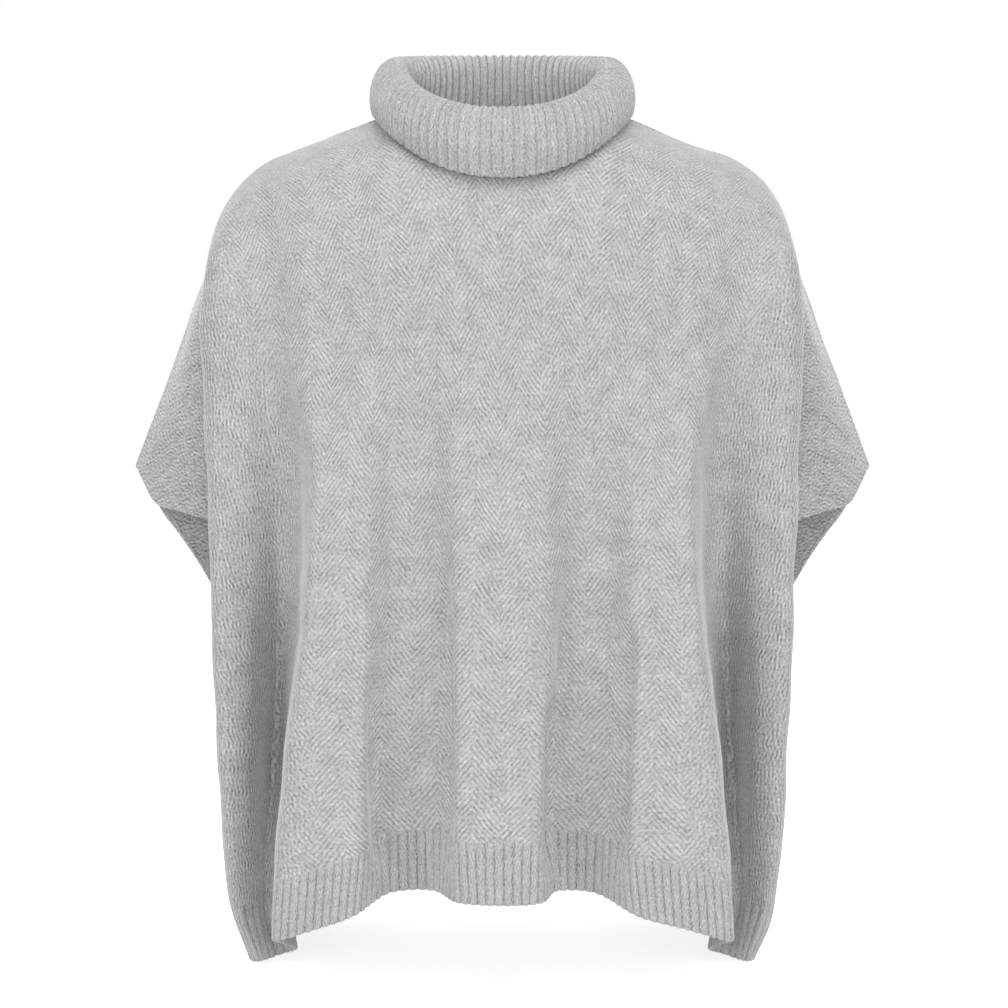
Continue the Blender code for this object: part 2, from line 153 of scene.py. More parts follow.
def spline(points, at):
    # smooth curve through points[..., n, 3] at fractional places, with centripetal spacing
    last = points.shape[-2] - 1
    index = np.clip(np.floor(at).astype(int), 0, last - 1)
    first = 2 * points[..., :1, :] - points[..., 1:2, :]
    beyond = 2 * points[..., -1:, :] - points[..., -2:-1, :]
    padded = np.concatenate([first, points, beyond], axis=-2)
    a, b, c, d = (padded[..., index + k, :] for k in range(4))
    gapA, gapB, gapC = (
        np.sqrt(np.maximum(np.linalg.norm(q - p, axis=-1, keepdims=True), 1e-6))
        for p, q in ((a, b), (b, c), (c, d))
    )
    leave = ((b - a) / gapA - (c - a) / (gapA + gapB) + (c - b) / gapB) * gapB
    arrive = ((c - b) / gapB - (d - b) / (gapB + gapC) + (d - c) / gapC) * gapB
    t = (at - index)[:, None]
    ends = b * (1 + t * t * (2 * t - 3)) + leave * t * (1 - t) ** 2
    return ends + c * t * t * (3 - 2 * t) + arrive * t * t * (t - 1)


def neckPoint(share, panel):
    # a point of the neckline, from the centre (0) to the neck end of the shoulder seam (1)
    angle = share * pi / 2
    side, centre = sin(angle), max(cos(angle), 0)
    power = cloth["ovalPower"]
    x = cloth["neckHalfWidth"] * side**power
    y = panel["side"] * panel["neckDepth"] * centre**power
    z = cloth["neckSideZ"] + (panel["neckZ"] - cloth["neckSideZ"]) * centre ** cloth["neckDip"]
    return np.array((x, y, z))


# How a line goes over the shoulder, as shares of its way (x y z) from the seam to the chest: how it leaves
# the seam and how it arrives. A line's shift counts only in part at the underarm and waist.
shoulder = {
    "leave": (0.25, 0.75, 0.07),
    "arrive": (0.90, 1.00, 0.42),
    "underarmShift": 0.2,
    "waistShift": 0.8,
}


def foldLines(panel, levels, shiftName):
    # every line of one half of a panel at the given levels: [line, level, 3]
    lines = []
    upper = levels < chest
    share = (levels[upper] / chest)[:, None]
    for row in panel["folds"]:
        fold = dict(zip(foldColumns, row))
        shift = fold[shiftName]
        underarmShift, waistShift = shoulder["underarmShift"] * shift, shoulder["waistShift"] * shift
        places = np.array([
            (fold["chestX"], fold["chestY"], levelHeight["chest"]),
            (fold["underarmX"] + underarmShift, fold["underarmY"], levelHeight["underarm"]),
            (fold["waistX"] + waistShift, fold["waistY"], levelHeight["waist"]),
            (fold["ribX"] + shift, fold["ribY"], fold["hemZ"] + ribHeight),
            (fold["hemX"] + shift, fold["hemY"], fold["hemZ"]),
        ])
        if fold["top"] <= 1:
            top = neckPoint(fold["top"], panel)
        else:
            top = spline(shoulderSeam, np.array([(fold["top"] - 1) * (len(shoulderSeam) - 1)]))[0]
        drop = places[0] - top
        leave, arrive = top + drop * shoulder["leave"], top + drop * shoulder["arrive"]
        over = top * (1 - share) ** 3 + leave * 3 * share * (1 - share) ** 2
        over = over + arrive * 3 * share**2 * (1 - share) + places[0] * share**3
        below = np.interp(levels[~upper], (chest, underarm, waist, rib, hem), (0, 1, 2, 3, 4))
        lines.append(np.concatenate([over, spline(places, below)]))
    outer = np.array(panel["sleeve"] + panel["sideSeam"])
    lines.append(spline(outer[:, 1:4], levels))
    lines.append(spline(outer[:, 4:7], levels))
    return np.array(lines)


def panelLines(panel, levels):
    # the lines of both halves, from the wearer's right (-X) to the left
    right = foldLines(panel, levels, "shiftRight")[::-1]
    left = foldLines(panel, levels, "shiftLeft")
    return np.concatenate([right * (-1, 1, 1), left[1:]]).transpose(1, 0, 2)


def lengths(points, axis):
    # running length along a grid of points
    steps = np.linalg.norm(np.diff(points, axis=axis), axis=-1)
    return np.insert(np.cumsum(steps, axis=axis), 0, 0, axis=axis)


def facings(points, closed=False):
    # unit normals of a grid of points
    down = np.gradient(points, axis=0)
    if closed:
        ring = np.concatenate([points[:, -2:-1], points, points[:, 1:2]], axis=1)
        across = (ring[:, 2:] - ring[:, :-2]) / 2
    else:
        across = np.gradient(points, axis=1)
    normal = np.cross(across, down)
    return normal / np.maximum(np.linalg.norm(normal, axis=-1, keepdims=True), 1e-12)


def softNoise(u, v, size, seed, waves=14):
    # smooth bumps of about the given size, between about -1 and 1
    random = np.random.default_rng(seed)
    total = 0
    for _ in range(waves):
        angle, phase = random.uniform(0, 2 * pi, 2)
        length = size * random.uniform(0.7, 1.6)
        total = total + np.sin(2 * pi * (u * cos(angle) + v * sin(angle)) / length + phase)
    return total / np.sqrt(waves) / 1.2


def roundedShare(distance, radius):
    # share of the full thickness at a distance from a rim that is rounded to the given radius
    near = np.clip(distance / radius, 0, 1)
    return np.sqrt(np.maximum(1 - (1 - near) ** 2, 0))


def buildWall(name, outer, inner, uv, material, innerShift=0):
    # a closed wall of cloth: one grid goes down the outer face, up the inner face and back to its start
    places = np.concatenate([outer, inner[::-1], outer[:1]])
    marks = np.concatenate([uv, uv[::-1] + (innerShift, 0), uv[:1]])
    rows, columns = places.shape[:2]
    bpy.ops.mesh.primitive_grid_add(x_subdivisions=columns - 1, y_subdivisions=rows - 1, size=1)
    piece = bpy.context.active_object
    piece.name = piece.data.name = name
    mesh = piece.data
    mesh.vertices.foreach_set("co", places.astype(np.float32).ravel())
    corner = np.empty(len(mesh.loops), np.int32)
    mesh.loops.foreach_get("vertex_index", corner)
    mesh.uv_layers[0].name = "clothMap"
    mesh.uv_layers[0].data.foreach_set("uv", marks.reshape(-1, 2)[corner].astype(np.float32).ravel())
    bpy.ops.object.mode_set(mode="EDIT")
    bpy.ops.mesh.select_all(action="SELECT")
    bpy.ops.mesh.remove_doubles(threshold=2e-6)
    bpy.ops.mesh.normals_make_consistent(inside=False)
    bpy.ops.object.mode_set(mode="OBJECT")
    bpy.ops.object.shade_smooth_by_angle(angle=radians(70))
    mesh.materials.append(material)
    bpy.ops.object.select_all(action="DESELECT")
    print(name, len(mesh.polygons), "faces")
    return piece


# Soft creases, given one by one: x and z where each starts and ends, how wide it is and how deep (+ in, -
# out).
frontCreases = [
    (-0.099, -0.605, -0.103, -0.440, 0.0060, 0.0080),
    (-0.047, -0.605, -0.049, -0.350, 0.0065, 0.0095),
    (0.041, -0.605, 0.043, -0.460, 0.0060, 0.0095),
    (0.045, -0.520, 0.058, -0.340, 0.0065, 0.0060),
    (0.092, -0.605, 0.101, -0.400, 0.0060, 0.0110),
    (-0.082, -0.400, -0.060, -0.210, 0.020, 0.0022),
    (0.072, -0.400, 0.056, -0.220, 0.018, 0.0020),
    (-0.118, -0.095, -0.165, -0.300, 0.022, 0.0030),
    (0.120, -0.100, 0.160, -0.280, 0.020, 0.0026),
    (-0.200, -0.120, -0.214, -0.300, 0.010, -0.0022),
    (0.206, -0.130, 0.212, -0.290, 0.010, -0.0020),
    (-0.020, -0.200, 0.030, -0.330, 0.026, 0.0016),
    (-0.150, -0.345, -0.040, -0.335, 0.006, 0.0014),
    (0.030, -0.330, 0.150, -0.342, 0.006, 0.0014),
    (-0.110, -0.362, -0.060, -0.350, 0.005, 0.0012),
]
backCreases = [
    (-0.030, -0.640, -0.022, -0.330, 0.013, 0.0032),
    (0.034, -0.640, 0.020, -0.380, 0.012, 0.0030),
    (-0.118, -0.100, -0.150, -0.320, 0.020, 0.0030),
    (0.112, -0.090, 0.158, -0.300, 0.022, 0.0028),
    (0.090, -0.640, 0.100, -0.430, 0.014, -0.0024),
    (-0.094, -0.640, -0.106, -0.460, 0.012, -0.0026),
]


def creaseDepth(points, creases):
    # how far in each point of a grid is pressed by the creases, which fade out a little past their ends
    past, fade = 0.12, 0.35
    x, z = points[..., 0], points[..., 2]
    depth = np.zeros_like(x)
    for x0, z0, x1, z1, width, press in creases:
        length = np.hypot(x1 - x0, z1 - z0)
        along = ((x - x0) * (x1 - x0) + (z - z0) * (z1 - z0)) / length**2
        away = ((x - x0) * (z1 - z0) - (z - z0) * (x1 - x0)) / length
        ends = np.clip(np.minimum(along + past, 1 + past - along) / fade, 0, 1)
        depth += press * np.exp(-((away / width) ** 2)) * ends**2 * (3 - 2 * ends)
    return depth


herringbone = {
    "stripLean": radians(20),  # how far the strips lean in at the shoulders
    "leanTop": -0.03,  # the lean is full at this height and gone at leanEnd
    "leanEnd": -0.21,
    "leanWidth": 0.10,  # and full this far out from the centre
    "drapeSize": 0.075,  # size and height of the soft unevenness of the hanging cloth
    "drape": 0.0007,
}


def unroll(points, direction):
    # lays a grid of points out flat along one direction of the cloth, with the least stretch both ways
    across = (np.diff(points, axis=1) * (direction[:, 1:] + direction[:, :-1]) / 2).sum(axis=-1)
    down = (np.diff(points, axis=0) * (direction[1:] + direction[:-1]) / 2).sum(axis=-1)
    source = np.zeros(points.shape[:2])
    source[:, :-1] += across
    source[:, 1:] -= across
    source[:-1] += down
    source[1:] -= down
    mirrored = np.concatenate([source, source[::-1]])
    mirrored = np.concatenate([mirrored, mirrored[:, ::-1]], axis=1)
    bendRows, bendColumns = (2 * np.cos(2 * pi * np.arange(n) / n) - 2 for n in mirrored.shape)
    bend = bendRows[:, None] + bendColumns
    bend[0, 0] = 1
    flat = np.fft.ifft2(np.fft.fft2(mirrored) / bend).real
    return flat[: points.shape[0], : points.shape[1]]


def clothMap(points, normal, side, middle, hemStart):
    # cloth coordinates in metres: u across the strips from the centre one, v up along them from the hem
    x, z = points[..., 0], points[..., 2]
    high = np.clip((z - herringbone["leanEnd"]) / (herringbone["leanTop"] - herringbone["leanEnd"]), 0, 1)
    lean = herringbone["stripLean"] * high * np.clip(x / herringbone["leanWidth"], -1, 1)
    along = np.stack([-np.sin(lean), side * high, -np.cos(lean)], axis=-1)
    along -= normal * (along * normal).sum(axis=-1, keepdims=True)
    along /= np.linalg.norm(along, axis=-1, keepdims=True)
    u = unroll(points, -side * np.cross(normal, along))
    v = unroll(points, along)
    return np.stack([u - u[:, middle].mean(), hemStart + v[-1].mean() - v], axis=-1)


ribs = {
    "pitch": 0.0074,  # width of one rib
    "strand": 0.0023,  # spacing of the yarn strokes on it, and how straight they are
    "strandStraight": 0.6,
    "columns": 8,  # mesh columns to a rib
    "step": 0.0030,
    "depth": 0.0015,
    "insideDepth": 0.0011,
    "sharpness": 0.75,
    "start": 0.006,  # how far below the top of the rib knit the ribs reach full depth
    "scallop": 0.0006,  # how far the furrows draw in at the edge, and how far from it that reaches
    "scallopReach": 0.004,
}


def roundedRows(half):
    # distances from a free edge to the rows that round it
    return half * (1 - np.cos(np.linspace(0, pi / 2, cloth["roundingRows"] + 1)))[:-1]


def ribShape(wale, part):
    # 0 on the crown of a rib and 1 in the furrow beside it
    return 1 - np.abs(np.cos(pi * (wale + part))) ** ribs["sharpness"]


def scallopEdge(points, furrow, toEdge):
    # the furrows draw a free edge in a little
    down = np.gradient(points, axis=0)
    down /= np.linalg.norm(down, axis=-1, keepdims=True)
    lift = ribs["scallop"] * furrow * np.clip(1 - toEdge / ribs["scallopReach"], 0, 1)
    return points - down * lift[..., None]


def ribFaces(points, normal, furrow, back, thick, share):
    # the outer and inner face of rib knit, with its furrows on both sides
    middleDepth = (ribs["depth"] * furrow + thick - ribs["insideDepth"] * back) / 2
    halfThick = (thick - ribs["insideDepth"] * back - ribs["depth"] * furrow) / 2 * share
    outer = points - normal * (middleDepth - halfThick)[..., None]
    return outer, points - normal * (middleDepth + halfThick)[..., None]


def buildPanel(name, ribName, panel, creases, seed):
    # the herringbone cloth and its hem rib, on the same fold lines
    side = panel["side"]
    fine = np.linspace(0, hem, 401)  # finely divided, to measure along the cloth
    lines = panelLines(panel, fine)
    last = lines.shape[1] - 1
    run = lengths(lines, 0).mean(axis=1)
    ribRun = run[np.searchsorted(fine, rib)]
    place = np.linspace(0, last, 4001)
    width = lengths(spline(lines[[np.searchsorted(fine, waist)]], place)[0], 0)

    def surface(levels, across):
        points = spline(panelLines(panel, levels), across)
        uneven = softNoise(points[..., 0], points[..., 2], herringbone["drapeSize"], seed)
        rise = creaseDepth(points, creases) + herringbone["drape"] * uneven
        normal = side * facings(points)
        edge = np.minimum(lengths(points, 1), lengths(points[:, ::-1], 1)[:, ::-1])
        points = points - normal * (rise * np.clip(edge / cloth["edgeEase"], 0, 1))[..., None]
        return points, side * facings(points), edge

    # herringbone cloth
    half = cloth["wall"] / 2
    rounding = roundedRows(half)
    inner = np.linspace(half, ribRun, int(ribRun / cloth["step"]))
    levels = np.interp(np.concatenate([rounding, inner]), run, fine)
    levels[-1] = rib
    inner = np.linspace(half, width[-1] - half, int(width[-1] / cloth["step"]) // 2 * 2 + 1)
    across = np.interp(np.concatenate([rounding, inner, width[-1] - rounding[::-1]]), width, place)
    middle = len(across) // 2
    across[middle] = last / 2
    points, normal, edge = surface(levels, across)
    fromTop = lengths(points, 0)
    share = roundedShare(edge, half) * roundedShare(fromTop, half)
    outer = points - normal * (half * (1 - share))[..., None]
    innerFace = points - normal * (half * (1 + share))[..., None]
    uv = clothMap(points, normal, side, middle, ribHeight)
    sheet = buildWall(name, outer, innerFace, uv, knitMaterial)

    # hem rib, with whole ribs across
    midRib = rib + 0.5
    ribWidth = lengths(spline(lines[[np.searchsorted(fine, midRib)]], place)[0], 0)
    count = round(ribWidth[-1] / ribs["pitch"])
    wale = np.arange(count * ribs["columns"] + 1) / ribs["columns"] + 0.5
    across = np.interp((wale - 0.5) / count * ribWidth[-1], ribWidth, place)
    half = cloth["ribWall"] / 2
    total = run[-1] - ribRun
    rounding = roundedRows(half)
    inner = np.linspace(0, total - half, int(total / ribs["step"]))
    levels = np.interp(ribRun + np.concatenate([inner, total - rounding[::-1]]), run, fine)
    levels[0] = rib
    points, normal, edge = surface(levels, across)
    fromTop = lengths(points, 0)
    toHem = fromTop[-1:] - fromTop
    grow = np.clip(fromTop / ribs["start"], 0, 1)
    grow = grow**2 * (3 - 2 * grow)
    furrow, back = ribShape(wale, 0) * grow, ribShape(wale, 0.5) * grow
    share = roundedShare(edge, half) * roundedShare(toHem, half)
    points = scallopEdge(points, furrow, toHem)
    thick = cloth["wall"] + (cloth["ribWall"] - cloth["wall"]) * grow
    outer, innerFace = ribFaces(points, normal, furrow, back, thick, share)
    u = np.broadcast_to(wale * ribs["pitch"], fromTop.shape)
    uv = np.stack([u, toHem], axis=-1)
    hemRib = buildWall(ribName, outer, innerFace, uv, ribMaterial, ribs["pitch"] / 2)
    return sheet, hemRib


# Rings of the collar from its seam at the neckline up the inside, over the rim and down the outside:
# side x, side z, front y, front z, back y, back z, and how near the centre line the ring dips
collar = {
    "rings": [
        (0.0935, 0.0008, -0.0845, -0.0300, 0.0715, -0.0252, 1.5),
        (0.0835, 0.0180, -0.0855, -0.0140, 0.0735, -0.0030, 1.4),
        (0.0770, 0.0340, -0.0905, 0.0020, 0.0790, 0.0240, 1.3),
        (0.0798, 0.0470, -0.0985, 0.0125, 0.0865, 0.0455, 1.15),
        (0.0885, 0.0510, -0.1060, 0.0145, 0.0940, 0.0508, 1.15),
        (0.1000, 0.0455, -0.1135, 0.0105, 0.1015, 0.0465, 1.2),
        (0.1085, 0.0310, -0.1215, -0.0060, 0.1080, 0.0280, 1.4),
        (0.1103, 0.0135, -0.1240, -0.0250, 0.1090, 0.0010, 1.6),
        (0.1085, 0.0040, -0.1165, -0.0425, 0.1030, -0.0310, 1.9),
    ],
    "rimRing": 4,  # the ring at the top of the fold
    "ribCount": 84,
    "insideRibs": 0.8,  # how much deeper the ribs are at the seam, easing off along the inside
    "insideEase": 0.11,
    "step": 0.0027,
}


def buildCollar(name):
    # the rib tube round the neck, folded over outwards
    power = cloth["ovalPower"]
    angle = np.linspace(0, 2 * pi, 4001)
    sideShare = np.sign(np.sin(angle)) * np.abs(np.sin(angle)) ** power
    centreShare = np.abs(np.cos(angle))
    rings = []
    for sideX, sideZ, frontY, frontZ, backY, backZ, dip in collar["rings"]:
        front = np.cos(angle) > 0
        depth, centreZ = np.where(front, frontY, backY), np.where(front, frontZ, backZ)
        z = sideZ + (centreZ - sideZ) * centreShare**dip
        rings.append(np.stack([sideX * sideShare, depth * centreShare**power, z], axis=-1))
    rings = np.array(rings)
    # ribs stand evenly round the rim
    ringRun = lengths(rings, 1)[collar["rimRing"]]
    wale = np.arange(collar["ribCount"] * ribs["columns"] + 1) / ribs["columns"]
    even = np.interp(wale / collar["ribCount"] * ringRun[-1], ringRun, angle)
    rings = np.stack([
        np.stack([np.interp(even, angle, ring[:, k]) for k in range(3)], axis=-1) for ring in rings
    ])
    fine = np.linspace(0, len(rings) - 1, 801)
    profile = spline(rings.transpose(1, 0, 2), fine).transpose(1, 0, 2)
    run = lengths(profile, 0).mean(axis=1)
    half = cloth["ribWall"] / 2
    rounding = roundedRows(half)
    inner = np.linspace(half, run[-1] - half, int(run[-1] / collar["step"]))
    rows = np.interp(np.concatenate([rounding, inner, run[-1] - rounding[::-1]]), run, fine)
    points = spline(rings.transpose(1, 0, 2), rows).transpose(1, 0, 2)
    points[:, -1] = points[:, 0]
    normal = -facings(points, closed=True)
    normal[:, -1] = normal[:, 0]
    fromSeam = lengths(points, 0)
    toEdge = fromSeam[-1:] - fromSeam
    share = roundedShare(toEdge, half) * roundedShare(fromSeam, half)
    furrow, back = ribShape(wale, 0), ribShape(wale, 0.5)
    points = scallopEdge(points, furrow, toEdge)
    furrow = furrow * (1 + collar["insideRibs"] * np.clip(1 - fromSeam / collar["insideEase"], 0, 1))
    outer, innerFace = ribFaces(points, normal, furrow, back, cloth["ribWall"], share)
    u = np.broadcast_to((wale + 0.5) * ribs["pitch"], toEdge.shape)
    uv = np.stack([u, toEdge], axis=-1)
    return buildWall(name, outer, innerFace, uv, ribMaterial, ribs["pitch"] / 2)


# Where the herringbone turns to crepe, measured outwards from the centre. Above zigzagTop the change lies
# farther out, by zigzagSpread for each metre.
sides = {
    "zigzagTop": -0.26,
    "zigzagSpread": 0.40,
    "zigzagEnd": 0.145,
    "crepeStart": 0.19,
    "least": 0.1,
    "most": 0.9,
    "sleeveStart": 0.248,
    "sleeveTurn": -1.25,  # turn of the strokes on the sleeves
    "straight": 0.78,
    "sleeveStraight": 0.28,
}

zigzag = {
    "stripWidth": 0.0205,
    "lineRise": 0.0054,  # from one slanting line to the next
    "steepness": 1.35,
    "wander": 0.0026,
    "wanderSize": 0.016,
    "sway": 0.010,
    "swaySize": 0.060,
    "overreach": 0.0036,  # how far the ends of the lines reach into the next strip
    "strokeLength": 0.010,
    "strokesAcross": 1.5,  # single yarns across one ridge
    "breakUp": 0.85,
    "ridgeSoftness": 0.75,  # lower makes broader ridges and thinner lines of painted shade between them
    # the next two paint light on the ridges' crowns and shade in the grooves between them, besides shaping
    # the bump
    "ridgeContrast": 1.8,
    "paintedGrooveShade": -1.15,
    "wornSize": 0.016,  # size of the places where the pattern is worn soft
    "wornContrast": 2.0,
    "fresh": 0.75,  # share of the pattern left on the whole
}

ribShade = {
    "narrow": 2.5,  # how narrow the painted shade in the furrows is
    # painted shade in the furrows, and the crowns' own tone
    "furrow": -0.25,
    "crown": 0.54,
    "insideStart": 0.055,  # from here to insideEnd, up from the collar's free edge, the painted shade in the furrows and the painted light on the crowns grow stronger
    "insideEnd": 0.075,
    # painted shade added in the furrows and painted light added on the crowns, inside the collar
    "insidePaintedFurrowShade": -0.32,
    "insidePaintedCrownLight": 0.16,
    "line": 0.60,  # shares of the strands' painted shade and light, and of the yarn's own flecks
    "marl": 0.75,
}

yarn = {
    "colour": (0.430, 0.430, 0.440),
    "paintedShadeAndDarkFlecks": (0.16, 0.16, 0.17),  # painted shade between the yarns, and the marl's dark flecks
    "light": (0.72, 0.72, 0.73),  # painted light on top of them, and the marl's light flecks
    "cloudiness": 0.50,
    "specular": 0.15,
    "bumpStrength": 0.6,
    "bump": 0.0004,
    "ribBump": 0.0003,
    "stroke": 0.0031,  # spacing of the strokes of the crepe
    # contrast of the strokes, as bump and as painted shade and light in the colour
    "strokeContrast": 4.6,
    "roughness": 0.92,
    "sheen": 0.70,
    "sheenRoughness": 0.35,
    "fleckSize": 0.0024,
    "fibreSize": 0.0011,
    "cloudSize": 0.017,
    "line": 0.26,  # contrast of the pattern's painted shade and light
    "marl": 0.85,  # contrast of the flecks
}


def addNode(tree, kind, inputs=(), **settings):
    # a shader node with its settings, and its inputs given as values or as sockets to link
    node = tree.nodes.new("ShaderNode" + kind)
    for key, value in settings.items():
        setattr(node, key, value)
    for key, value in dict(inputs).items():
        if isinstance(value, bpy.types.NodeSocket):
            tree.links.new(value, node.inputs[key])
        else:
            node.inputs[key].default_value = value
    return node


def calc(tree, operation, *values, clamp=False):
    return addNode(tree, "Math", dict(enumerate(values)), operation=operation, use_clamp=clamp).outputs[0]


def newGroup(name, inputs, outputs):
    tree = bpy.data.node_groups.new(name, "ShaderNodeTree")
    for label, kind, value in inputs:
        socket = tree.interface.new_socket(label, in_out="INPUT", socket_type=kind)
        if value is not None:
            socket.default_value = value
    for label, kind in outputs:
        tree.interface.new_socket(label, in_out="OUTPUT", socket_type=kind)
    source = tree.nodes.new("NodeGroupInput")
    result = tree.nodes.new("NodeGroupOutput")
    return tree, source.outputs, result.inputs


def noiseShade(tree, vector, size, detail=1.0, roughness=0.5):
    # noise between about -0.5 and 0.5, with bumps of the given size
    inputs = {"Vector": vector, "Scale": 1 / size, "Detail": detail, "Roughness": roughness}
    return calc(tree, "SUBTRACT", addNode(tree, "TexNoise", inputs).outputs["Fac"], 0.5)


def yarnGroup():
    # marled wool: slow shade changes, light and dark flecks, and loose fibres for the bump
    tree, given, out = newGroup(
        "marled yarn",
        [("Place", "NodeSocketVector", None), ("Cloudiness", "NodeSocketFloat", yarn["cloudiness"])],
        [("Shade", "NodeSocketFloat"), ("Fibre", "NodeSocketFloat")],
    )
    fleck = noiseShade(tree, given["Place"], yarn["fleckSize"])
    cloud = noiseShade(tree, given["Place"], yarn["cloudSize"], 3.0, 0.6)
    tree.links.new(calc(tree, "MULTIPLY_ADD", cloud, given["Cloudiness"], fleck), out["Shade"])
    tree.links.new(noiseShade(tree, given["Place"], yarn["fibreSize"]), out["Fibre"])
    return tree


def crepeGroup():
    # short strokes of yarn, evenly spaced, that wander round one direction
    tree, given, out = newGroup(
        "crepe",
        [
            ("Map", "NodeSocketVector", None),
            ("Turn", "NodeSocketFloat", 0.0),
            ("Spacing", "NodeSocketFloat", yarn["stroke"]),
            ("Straightness", "NodeSocketFloat", sides["straight"]),
        ],
        [("Ridge", "NodeSocketFloat")],
    )
    # two strokes to a cell of the pattern
    scale = calc(tree, "DIVIDE", 0.5, given["Spacing"])
    inputs = {"Vector": given["Map"], "Scale": scale, "Frequency": 2.0, "Anisotropy": given["Straightness"]}
    strokes = addNode(tree, "TexGabor", inputs)
    tree.links.new(given["Turn"], strokes.inputs[4])
    contrast = yarn["strokeContrast"]
    ridge = calc(tree, "MULTIPLY_ADD", strokes.outputs["Value"], contrast, -0.5 * contrast)
    tree.links.new(ridge, out["Ridge"])
    return tree


def herringboneGroup():
    # zigzags of slanting yarn ridges with thin lines of painted shade between them, uneven and here and there
    # broken
    tree, given, out = newGroup(
        "herringbone",
        [
            ("Map", "NodeSocketVector", None),
            ("Strip Width", "NodeSocketFloat", zigzag["stripWidth"]),
            ("Line Rise", "NodeSocketFloat", zigzag["lineRise"]),
            ("Steepness", "NodeSocketFloat", zigzag["steepness"]),
            ("Wander", "NodeSocketFloat", zigzag["wander"]),
            ("Break Up", "NodeSocketFloat", zigzag["breakUp"]),
        ],
        [("Ridge", "NodeSocketFloat")],
    )
    parts = addNode(tree, "SeparateXYZ", {0: given["Map"]})
    wobble = noiseShade(tree, given["Map"], zigzag["wanderSize"], 2.0)
    sway = noiseShade(tree, given["Map"], zigzag["swaySize"])
    u = calc(tree, "MULTIPLY_ADD", wobble, given["Wander"], parts.outputs[0])
    u = calc(tree, "MULTIPLY_ADD", sway, zigzag["sway"], u)
    v = calc(tree, "MULTIPLY_ADD", wobble, given["Wander"], parts.outputs[1])
    # two sets of slanting lines, one to the left and one to the right
    slant = calc(tree, "MULTIPLY", u, given["Steepness"])
    rising = calc(tree, "DIVIDE", calc(tree, "SUBTRACT", v, slant), given["Line Rise"])
    falling = calc(tree, "DIVIDE", calc(tree, "ADD", v, slant), given["Line Rise"])
    # strips show one set or the other, and the ends of the lines reach past each other between two strips
    line = calc(tree, "FLOOR", rising)
    ends = addNode(tree, "TexWhiteNoise", {"W": line}, noise_dimensions="1D").outputs["Value"]
    reach = calc(tree, "MULTIPLY_ADD", ends, zigzag["overreach"], u)
    strip = calc(tree, "DIVIDE", reach, given["Strip Width"])
    chosen = calc(tree, "GREATER_THAN", calc(tree, "FRACT", calc(tree, "MULTIPLY", strip, 0.5)), 0.5)
    phase = addNode(tree, "Mix", {0: chosen, 2: rising, 3: falling}).outputs[0]
    ridge = calc(tree, "ABSOLUTE", calc(tree, "SINE", calc(tree, "MULTIPLY", phase, pi)))
    wave = calc(tree, "POWER", ridge, zigzag["ridgeSoftness"])
    # painted light on the ridges' crowns and painted shade in the grooves between them
    wave = calc(tree, "MULTIPLY_ADD", wave, zigzag["ridgeContrast"], zigzag["paintedGrooveShade"])
    # strokes of single yarns, long along the ridges and narrow across them, and not alike in two strips
    along = calc(tree, "DIVIDE", v, zigzag["strokeLength"])
    along = calc(tree, "MULTIPLY_ADD", calc(tree, "FLOOR", strip), 7.3, along)
    across = calc(tree, "MULTIPLY", phase, zigzag["strokesAcross"])
    stroke = addNode(tree, "CombineXYZ", {0: along, 1: across}).outputs[0]
    broken = calc(tree, "MULTIPLY", noiseShade(tree, stroke, 1.0), given["Break Up"])
    worn = noiseShade(tree, given["Map"], zigzag["wornSize"], 2.0)
    fresh = calc(tree, "MULTIPLY_ADD", worn, zigzag["wornContrast"], zigzag["fresh"], clamp=True)
    tree.links.new(calc(tree, "MULTIPLY_ADD", wave, fresh, broken), out["Ridge"])
    return tree


def newMaterial(name):
    material = bpy.data.materials.new(name)
    material.use_nodes = True
    tree = material.node_tree
    shader = tree.nodes["Principled BSDF"]
    shader.inputs["Roughness"].default_value = yarn["roughness"]
    shader.inputs["Specular IOR Level"].default_value = yarn["specular"]
    shader.inputs["Sheen Weight"].default_value = yarn["sheen"]
    shader.inputs["Sheen Roughness"].default_value = yarn["sheenRoughness"]
    cloth = addNode(tree, "UVMap", uv_map="clothMap").outputs[0]
    space = addNode(tree, "TexCoord").outputs["Object"]
    return material, tree, shader, cloth, space


def dress(tree, shader, amount, height, depth):
    # colour from painted shade between the yarns to painted light on top of them; the same ramp carries the
    # marl's own dark and light flecks
    ramp = addNode(tree, "ValToRGB", {0: amount})
    ramp.color_ramp.elements[0].position = 0.0
    ramp.color_ramp.elements[0].color = (*yarn["paintedShadeAndDarkFlecks"], 1)
    ramp.color_ramp.elements[1].color = (*yarn["light"], 1)
    middle = ramp.color_ramp.elements.new(0.5)
    middle.color = (*yarn["colour"], 1)
    tree.links.new(ramp.outputs[0], shader.inputs["Base Color"])
    bump = addNode(tree, "Bump", {"Height": height, "Strength": yarn["bumpStrength"], "Distance": depth})
    tree.links.new(bump.outputs[0], shader.inputs["Normal"])


